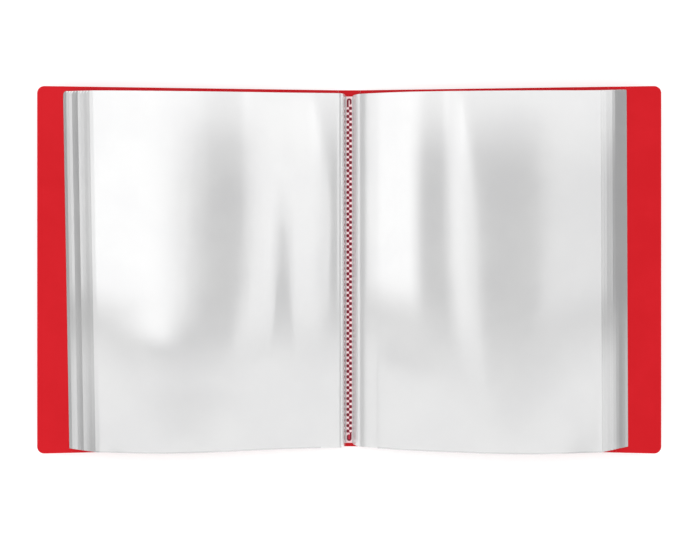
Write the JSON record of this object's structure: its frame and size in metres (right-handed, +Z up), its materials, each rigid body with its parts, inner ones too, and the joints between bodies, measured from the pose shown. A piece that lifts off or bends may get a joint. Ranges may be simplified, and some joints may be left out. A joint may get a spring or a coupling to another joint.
{
  "type": "clear pocket display book",
  "caption": "Display book with a creased red plastic cover and clear top-loading pockets welded to its spine, open at the middle spread.",
  "frame": {"origin": "on the table under the middle of the spine panel", "axes": "+X across the open spread to the back cover, +Y towards the head of the pages, +Z up from the table"},
  "size_m": [0.5262, 0.31, 0.0297],
  "materials": {
    "cover_sheet": "fine-grained opaque polypropylene sheet",
    "pocket_film": "clear glossy polypropylene film",
    "weld": "film pressed into the cover sheet in a diamond pattern"
  },
  "bodies": {
    "spine": {"spine_panel": "cover_sheet", "weld_seam": "weld"},
    "front_cover": {"front_cover": "cover_sheet"},
    "back_cover": {"back_cover": "cover_sheet"},
    "left_gutter_strip_01": {"left_gutter_strip_01": "pocket_film"},
    "left_pocket_01": {"left_pocket_01": "pocket_film"},
    "left_gutter_strip_02": {"left_gutter_strip_02": "pocket_film"},
    "left_pocket_02": {"left_pocket_02": "pocket_film"},
    "left_gutter_strip_03": {"left_gutter_strip_03": "pocket_film"},
    "left_pocket_03": {"left_pocket_03": "pocket_film"},
    "left_gutter_strip_04": {"left_gutter_strip_04": "pocket_film"},
    "left_pocket_04": {"left_pocket_04": "pocket_film"},
    "left_gutter_strip_05": {"left_gutter_strip_05": "pocket_film"},
    "left_pocket_05": {"left_pocket_05": "pocket_film"},
    "left_gutter_strip_06": {"left_gutter_strip_06": "pocket_film"},
    "left_pocket_06": {"left_pocket_06": "pocket_film"},
    "left_gutter_strip_07": {"left_gutter_strip_07": "pocket_film"},
    "left_pocket_07": {"left_pocket_07": "pocket_film"},
    "left_gutter_strip_08": {"left_gutter_strip_08": "pocket_film"},
    "left_pocket_08": {"left_pocket_08": "pocket_film"},
    "left_gutter_strip_09": {"left_gutter_strip_09": "pocket_film"},
    "left_pocket_09": {"left_pocket_09": "pocket_film"},
    "left_gutter_strip_10": {"left_gutter_strip_10": "pocket_film"},
    "left_pocket_10": {"left_pocket_10": "pocket_film"},
    "right_gutter_strip_01": {"right_gutter_strip_01": "pocket_film"},
    "right_pocket_01": {"right_pocket_01": "pocket_film"},
    "right_gutter_strip_02": {"right_gutter_strip_02": "pocket_film"},
    "right_pocket_02": {"right_pocket_02": "pocket_film"},
    "right_gutter_strip_03": {"right_gutter_strip_03": "pocket_film"},
    "right_pocket_03": {"right_pocket_03": "pocket_film"},
    "right_gutter_strip_04": {"right_gutter_strip_04": "pocket_film"},
    "right_pocket_04": {"right_pocket_04": "pocket_film"},
    "right_gutter_strip_05": {"right_gutter_strip_05": "pocket_film"},
    "right_pocket_05": {"right_pocket_05": "pocket_film"},
    "right_gutter_strip_06": {"right_gutter_strip_06": "pocket_film"},
    "right_pocket_06": {"right_pocket_06": "pocket_film"},
    "right_gutter_strip_07": {"right_gutter_strip_07": "pocket_film"},
    "right_pocket_07": {"right_pocket_07": "pocket_film"},
    "right_gutter_strip_08": {"right_gutter_strip_08": "pocket_film"},
    "right_pocket_08": {"right_pocket_08": "pocket_film"},
    "right_gutter_strip_09": {"right_gutter_strip_09": "pocket_film"},
    "right_pocket_09": {"right_pocket_09": "pocket_film"},
    "right_gutter_strip_10": {"right_gutter_strip_10": "pocket_film"},
    "right_pocket_10": {"right_pocket_10": "pocket_film"}
  },
  "joints": [
    {"name": "front_cover_crease", "type": "hinge", "parent": "spine", "child": "front_cover", "pos_m": [-0.01, 0, 0.0004], "axis": [0, 1, 0], "range_deg": [-5, 85]},
    {"name": "left_gutter_strip_01_fold", "type": "hinge", "parent": "spine", "child": "left_gutter_strip_01", "pos_m": [-0.00585, 0, 0.00115], "axis": [0, 1, 0], "range_deg": [-3.94, 66.82]},
    {"name": "left_pocket_01_bend", "type": "hinge", "parent": "left_gutter_strip_01", "child": "left_pocket_01", "pos_m": [-0.016, 0, 0.00212], "axis": [0, 1, 0], "range_deg": [-1.08, 18.16]},
    {"name": "left_gutter_strip_02_fold", "type": "hinge", "parent": "spine", "child": "left_gutter_strip_02", "pos_m": [-0.00555, 0, 0.00145], "axis": [0, 1, 0], "range_deg": [-3.81, 64.61]},
    {"name": "left_pocket_02_bend", "type": "hinge", "parent": "left_gutter_strip_02", "child": "left_pocket_02", "pos_m": [-0.01689, 0, 0.00378], "axis": [0, 1, 0], "range_deg": [-1.21, 20.46]},
    {"name": "left_gutter_strip_03_fold", "type": "hinge", "parent": "spine", "child": "left_gutter_strip_03", "pos_m": [-0.00525, 0, 0.00175], "axis": [0, 1, 0], "range_deg": [-3.71, 62.96]},
    {"name": "left_pocket_03_bend", "type": "hinge", "parent": "left_gutter_strip_03", "child": "left_pocket_03", "pos_m": [-0.01778, 0, 0.00543], "axis": [0, 1, 0], "range_deg": [-1.32, 22.22]},
    {"name": "left_gutter_strip_04_fold", "type": "hinge", "parent": "spine", "child": "left_gutter_strip_04", "pos_m": [-0.00495, 0, 0.00205], "axis": [0, 1, 0], "range_deg": [-3.64, 61.67]},
    {"name": "left_pocket_04_bend", "type": "hinge", "parent": "left_gutter_strip_04", "child": "left_pocket_04", "pos_m": [-0.01867, 0, 0.00708], "axis": [0, 1, 0], "range_deg": [-1.4, 23.6]},
    {"name": "left_gutter_strip_05_fold", "type": "hinge", "parent": "spine", "child": "left_gutter_strip_05", "pos_m": [-0.00465, 0, 0.00235], "axis": [0, 1, 0], "range_deg": [-3.58, 60.66]},
    {"name": "left_pocket_05_bend", "type": "hinge", "parent": "left_gutter_strip_05", "child": "left_pocket_05", "pos_m": [-0.01956, 0, 0.00874], "axis": [0, 1, 0], "range_deg": [-1.46, 24.72]},
    {"name": "left_gutter_strip_06_fold", "type": "hinge", "parent": "spine", "child": "left_gutter_strip_06", "pos_m": [-0.00435, 0, 0.00265], "axis": [0, 1, 0], "range_deg": [-3.53, 59.83]},
    {"name": "left_pocket_06_bend", "type": "hinge", "parent": "left_gutter_strip_06", "child": "left_pocket_06", "pos_m": [-0.02044, 0, 0.01039], "axis": [0, 1, 0], "range_deg": [-1.52, 25.66]},
    {"name": "left_gutter_strip_07_fold", "type": "hinge", "parent": "spine", "child": "left_gutter_strip_07", "pos_m": [-0.00405, 0, 0.00295], "axis": [0, 1, 0], "range_deg": [-3.49, 59.15]},
    {"name": "left_pocket_07_bend", "type": "hinge", "parent": "left_gutter_strip_07", "child": "left_pocket_07", "pos_m": [-0.02133, 0, 0.01204], "axis": [0, 1, 0], "range_deg": [-1.56, 26.45]},
    {"name": "left_gutter_strip_08_fold", "type": "hinge", "parent": "spine", "child": "left_gutter_strip_08", "pos_m": [-0.00375, 0, 0.00325], "axis": [0, 1, 0], "range_deg": [-3.46, 58.58]},
    {"name": "left_pocket_08_bend", "type": "hinge", "parent": "left_gutter_strip_08", "child": "left_pocket_08", "pos_m": [-0.02222, 0, 0.01369], "axis": [0, 1, 0], "range_deg": [-1.61, 27.14]},
    {"name": "left_gutter_strip_09_fold", "type": "hinge", "parent": "spine", "child": "left_gutter_strip_09", "pos_m": [-0.00345, 0, 0.00355], "axis": [0, 1, 0], "range_deg": [-3.43, 58.1]},
    {"name": "left_pocket_09_bend", "type": "hinge", "parent": "left_gutter_strip_09", "child": "left_pocket_09", "pos_m": [-0.02311, 0, 0.01535], "axis": [0, 1, 0], "range_deg": [-1.64, 27.75]},
    {"name": "left_gutter_strip_10_fold", "type": "hinge", "parent": "spine", "child": "left_gutter_strip_10", "pos_m": [-0.00315, 0, 0.00385], "axis": [0, 1, 0], "range_deg": [-3.4, 57.68]},
    {"name": "left_pocket_10_bend", "type": "hinge", "parent": "left_gutter_strip_10", "child": "left_pocket_10", "pos_m": [-0.024, 0, 0.017], "axis": [0, 1, 0], "range_deg": [-1.67, 28.29]},
    {"name": "back_cover_crease", "type": "hinge", "parent": "spine", "child": "back_cover", "pos_m": [0.01, 0, 0.0004], "axis": [0, -1, 0], "range_deg": [-5, 85]},
    {"name": "right_gutter_strip_01_fold", "type": "hinge", "parent": "spine", "child": "right_gutter_strip_01", "pos_m": [0.00585, 0, 0.00115], "axis": [0, -1, 0], "range_deg": [-3.94, 66.82]},
    {"name": "right_pocket_01_bend", "type": "hinge", "parent": "right_gutter_strip_01", "child": "right_pocket_01", "pos_m": [0.016, 0, 0.00212], "axis": [0, -1, 0], "range_deg": [-1.08, 18.16]},
    {"name": "right_gutter_strip_02_fold", "type": "hinge", "parent": "spine", "child": "right_gutter_strip_02", "pos_m": [0.00555, 0, 0.00145], "axis": [0, -1, 0], "range_deg": [-3.81, 64.61]},
    {"name": "right_pocket_02_bend", "type": "hinge", "parent": "right_gutter_strip_02", "child": "right_pocket_02", "pos_m": [0.01689, 0, 0.00378], "axis": [0, -1, 0], "range_deg": [-1.21, 20.46]},
    {"name": "right_gutter_strip_03_fold", "type": "hinge", "parent": "spine", "child": "right_gutter_strip_03", "pos_m": [0.00525, 0, 0.00175], "axis": [0, -1, 0], "range_deg": [-3.71, 62.96]},
    {"name": "right_pocket_03_bend", "type": "hinge", "parent": "right_gutter_strip_03", "child": "right_pocket_03", "pos_m": [0.01778, 0, 0.00543], "axis": [0, -1, 0], "range_deg": [-1.32, 22.22]},
    {"name": "right_gutter_strip_04_fold", "type": "hinge", "parent": "spine", "child": "right_gutter_strip_04", "pos_m": [0.00495, 0, 0.00205], "axis": [0, -1, 0], "range_deg": [-3.64, 61.67]},
    {"name": "right_pocket_04_bend", "type": "hinge", "parent": "right_gutter_strip_04", "child": "right_pocket_04", "pos_m": [0.01867, 0, 0.00708], "axis": [0, -1, 0], "range_deg": [-1.4, 23.6]},
    {"name": "right_gutter_strip_05_fold", "type": "hinge", "parent": "spine", "child": "right_gutter_strip_05", "pos_m": [0.00465, 0, 0.00235], "axis": [0, -1, 0], "range_deg": [-3.58, 60.66]},
    {"name": "right_pocket_05_bend", "type": "hinge", "parent": "right_gutter_strip_05", "child": "right_pocket_05", "pos_m": [0.01956, 0, 0.00874], "axis": [0, -1, 0], "range_deg": [-1.46, 24.72]},
    {"name": "right_gutter_strip_06_fold", "type": "hinge", "parent": "spine", "child": "right_gutter_strip_06", "pos_m": [0.00435, 0, 0.00265], "axis": [0, -1, 0], "range_deg": [-3.53, 59.83]},
    {"name": "right_pocket_06_bend", "type": "hinge", "parent": "right_gutter_strip_06", "child": "right_pocket_06", "pos_m": [0.02044, 0, 0.01039], "axis": [0, -1, 0], "range_deg": [-1.52, 25.66]},
    {"name": "right_gutter_strip_07_fold", "type": "hinge", "parent": "spine", "child": "right_gutter_strip_07", "pos_m": [0.00405, 0, 0.00295], "axis": [0, -1, 0], "range_deg": [-3.49, 59.15]},
    {"name": "right_pocket_07_bend", "type": "hinge", "parent": "right_gutter_strip_07", "child": "right_pocket_07", "pos_m": [0.02133, 0, 0.01204], "axis": [0, -1, 0], "range_deg": [-1.56, 26.45]},
    {"name": "right_gutter_strip_08_fold", "type": "hinge", "parent": "spine", "child": "right_gutter_strip_08", "pos_m": [0.00375, 0, 0.00325], "axis": [0, -1, 0], "range_deg": [-3.46, 58.58]},
    {"name": "right_pocket_08_bend", "type": "hinge", "parent": "right_gutter_strip_08", "child": "right_pocket_08", "pos_m": [0.02222, 0, 0.01369], "axis": [0, -1, 0], "range_deg": [-1.61, 27.14]},
    {"name": "right_gutter_strip_09_fold", "type": "hinge", "parent": "spine", "child": "right_gutter_strip_09", "pos_m": [0.00345, 0, 0.00355], "axis": [0, -1, 0], "range_deg": [-3.43, 58.1]},
    {"name": "right_pocket_09_bend", "type": "hinge", "parent": "right_gutter_strip_09", "child": "right_pocket_09", "pos_m": [0.02311, 0, 0.01535], "axis": [0, -1, 0], "range_deg": [-1.64, 27.75]},
    {"name": "right_gutter_strip_10_fold", "type": "hinge", "parent": "spine", "child": "right_gutter_strip_10", "pos_m": [0.00315, 0, 0.00385], "axis": [0, -1, 0], "range_deg": [-3.4, 57.68]},
    {"name": "right_pocket_10_bend", "type": "hinge", "parent": "right_gutter_strip_10", "child": "right_pocket_10", "pos_m": [0.024, 0, 0.017], "axis": [0, -1, 0], "range_deg": [-1.67, 28.29]}
  ],
  "couplings": [
    {"joint": "left_gutter_strip_01_fold", "follows": "front_cover_crease", "ratio": 0.78605},
    {"joint": "left_pocket_01_bend", "follows": "front_cover_crease", "ratio": 0.21349},
    {"joint": "left_gutter_strip_02_fold", "follows": "front_cover_crease", "ratio": 0.76006},
    {"joint": "left_pocket_02_bend", "follows": "front_cover_crease", "ratio": 0.2406},
    {"joint": "left_gutter_strip_03_fold", "follows": "front_cover_crease", "ratio": 0.74055},
    {"joint": "left_pocket_03_bend", "follows": "front_cover_crease", "ratio": 0.26126},
    {"joint": "left_gutter_strip_04_fold", "follows": "front_cover_crease", "ratio": 0.72547},
    {"joint": "left_pocket_04_bend", "follows": "front_cover_crease", "ratio": 0.27754},
    {"joint": "left_gutter_strip_05_fold", "follows": "front_cover_crease", "ratio": 0.71351},
    {"joint": "left_pocket_05_bend", "follows": "front_cover_crease", "ratio": 0.29073},
    {"joint": "left_gutter_strip_06_fold", "follows": "front_cover_crease", "ratio": 0.70381},
    {"joint": "left_pocket_06_bend", "follows": "front_cover_crease", "ratio": 0.30171},
    {"joint": "left_gutter_strip_07_fold", "follows": "front_cover_crease", "ratio": 0.69579},
    {"joint": "left_pocket_07_bend", "follows": "front_cover_crease", "ratio": 0.31106},
    {"joint": "left_gutter_strip_08_fold", "follows": "front_cover_crease", "ratio": 0.68907},
    {"joint": "left_pocket_08_bend", "follows": "front_cover_crease", "ratio": 0.31916},
    {"joint": "left_gutter_strip_09_fold", "follows": "front_cover_crease", "ratio": 0.68336},
    {"joint": "left_pocket_09_bend", "follows": "front_cover_crease", "ratio": 0.3263},
    {"joint": "left_gutter_strip_10_fold", "follows": "front_cover_crease", "ratio": 0.67844},
    {"joint": "left_pocket_10_bend", "follows": "front_cover_crease", "ratio": 0.33271},
    {"joint": "right_gutter_strip_01_fold", "follows": "back_cover_crease", "ratio": 0.78605},
    {"joint": "right_pocket_01_bend", "follows": "back_cover_crease", "ratio": 0.21349},
    {"joint": "right_gutter_strip_02_fold", "follows": "back_cover_crease", "ratio": 0.76006},
    {"joint": "right_pocket_02_bend", "follows": "back_cover_crease", "ratio": 0.2406},
    {"joint": "right_gutter_strip_03_fold", "follows": "back_cover_crease", "ratio": 0.74055},
    {"joint": "right_pocket_03_bend", "follows": "back_cover_crease", "ratio": 0.26126},
    {"joint": "right_gutter_strip_04_fold", "follows": "back_cover_crease", "ratio": 0.72547},
    {"joint": "right_pocket_04_bend", "follows": "back_cover_crease", "ratio": 0.27754},
    {"joint": "right_gutter_strip_05_fold", "follows": "back_cover_crease", "ratio": 0.71351},
    {"joint": "right_pocket_05_bend", "follows": "back_cover_crease", "ratio": 0.29073},
    {"joint": "right_gutter_strip_06_fold", "follows": "back_cover_crease", "ratio": 0.70381},
    {"joint": "right_pocket_06_bend", "follows": "back_cover_crease", "ratio": 0.30171},
    {"joint": "right_gutter_strip_07_fold", "follows": "back_cover_crease", "ratio": 0.69579},
    {"joint": "right_pocket_07_bend", "follows": "back_cover_crease", "ratio": 0.31106},
    {"joint": "right_gutter_strip_08_fold", "follows": "back_cover_crease", "ratio": 0.68907},
    {"joint": "right_pocket_08_bend", "follows": "back_cover_crease", "ratio": 0.31916},
    {"joint": "right_gutter_strip_09_fold", "follows": "back_cover_crease", "ratio": 0.68336},
    {"joint": "right_pocket_09_bend", "follows": "back_cover_crease", "ratio": 0.3263},
    {"joint": "right_gutter_strip_10_fold", "follows": "back_cover_crease", "ratio": 0.67844},
    {"joint": "right_pocket_10_bend", "follows": "back_cover_crease", "ratio": 0.33271}
  ]
}
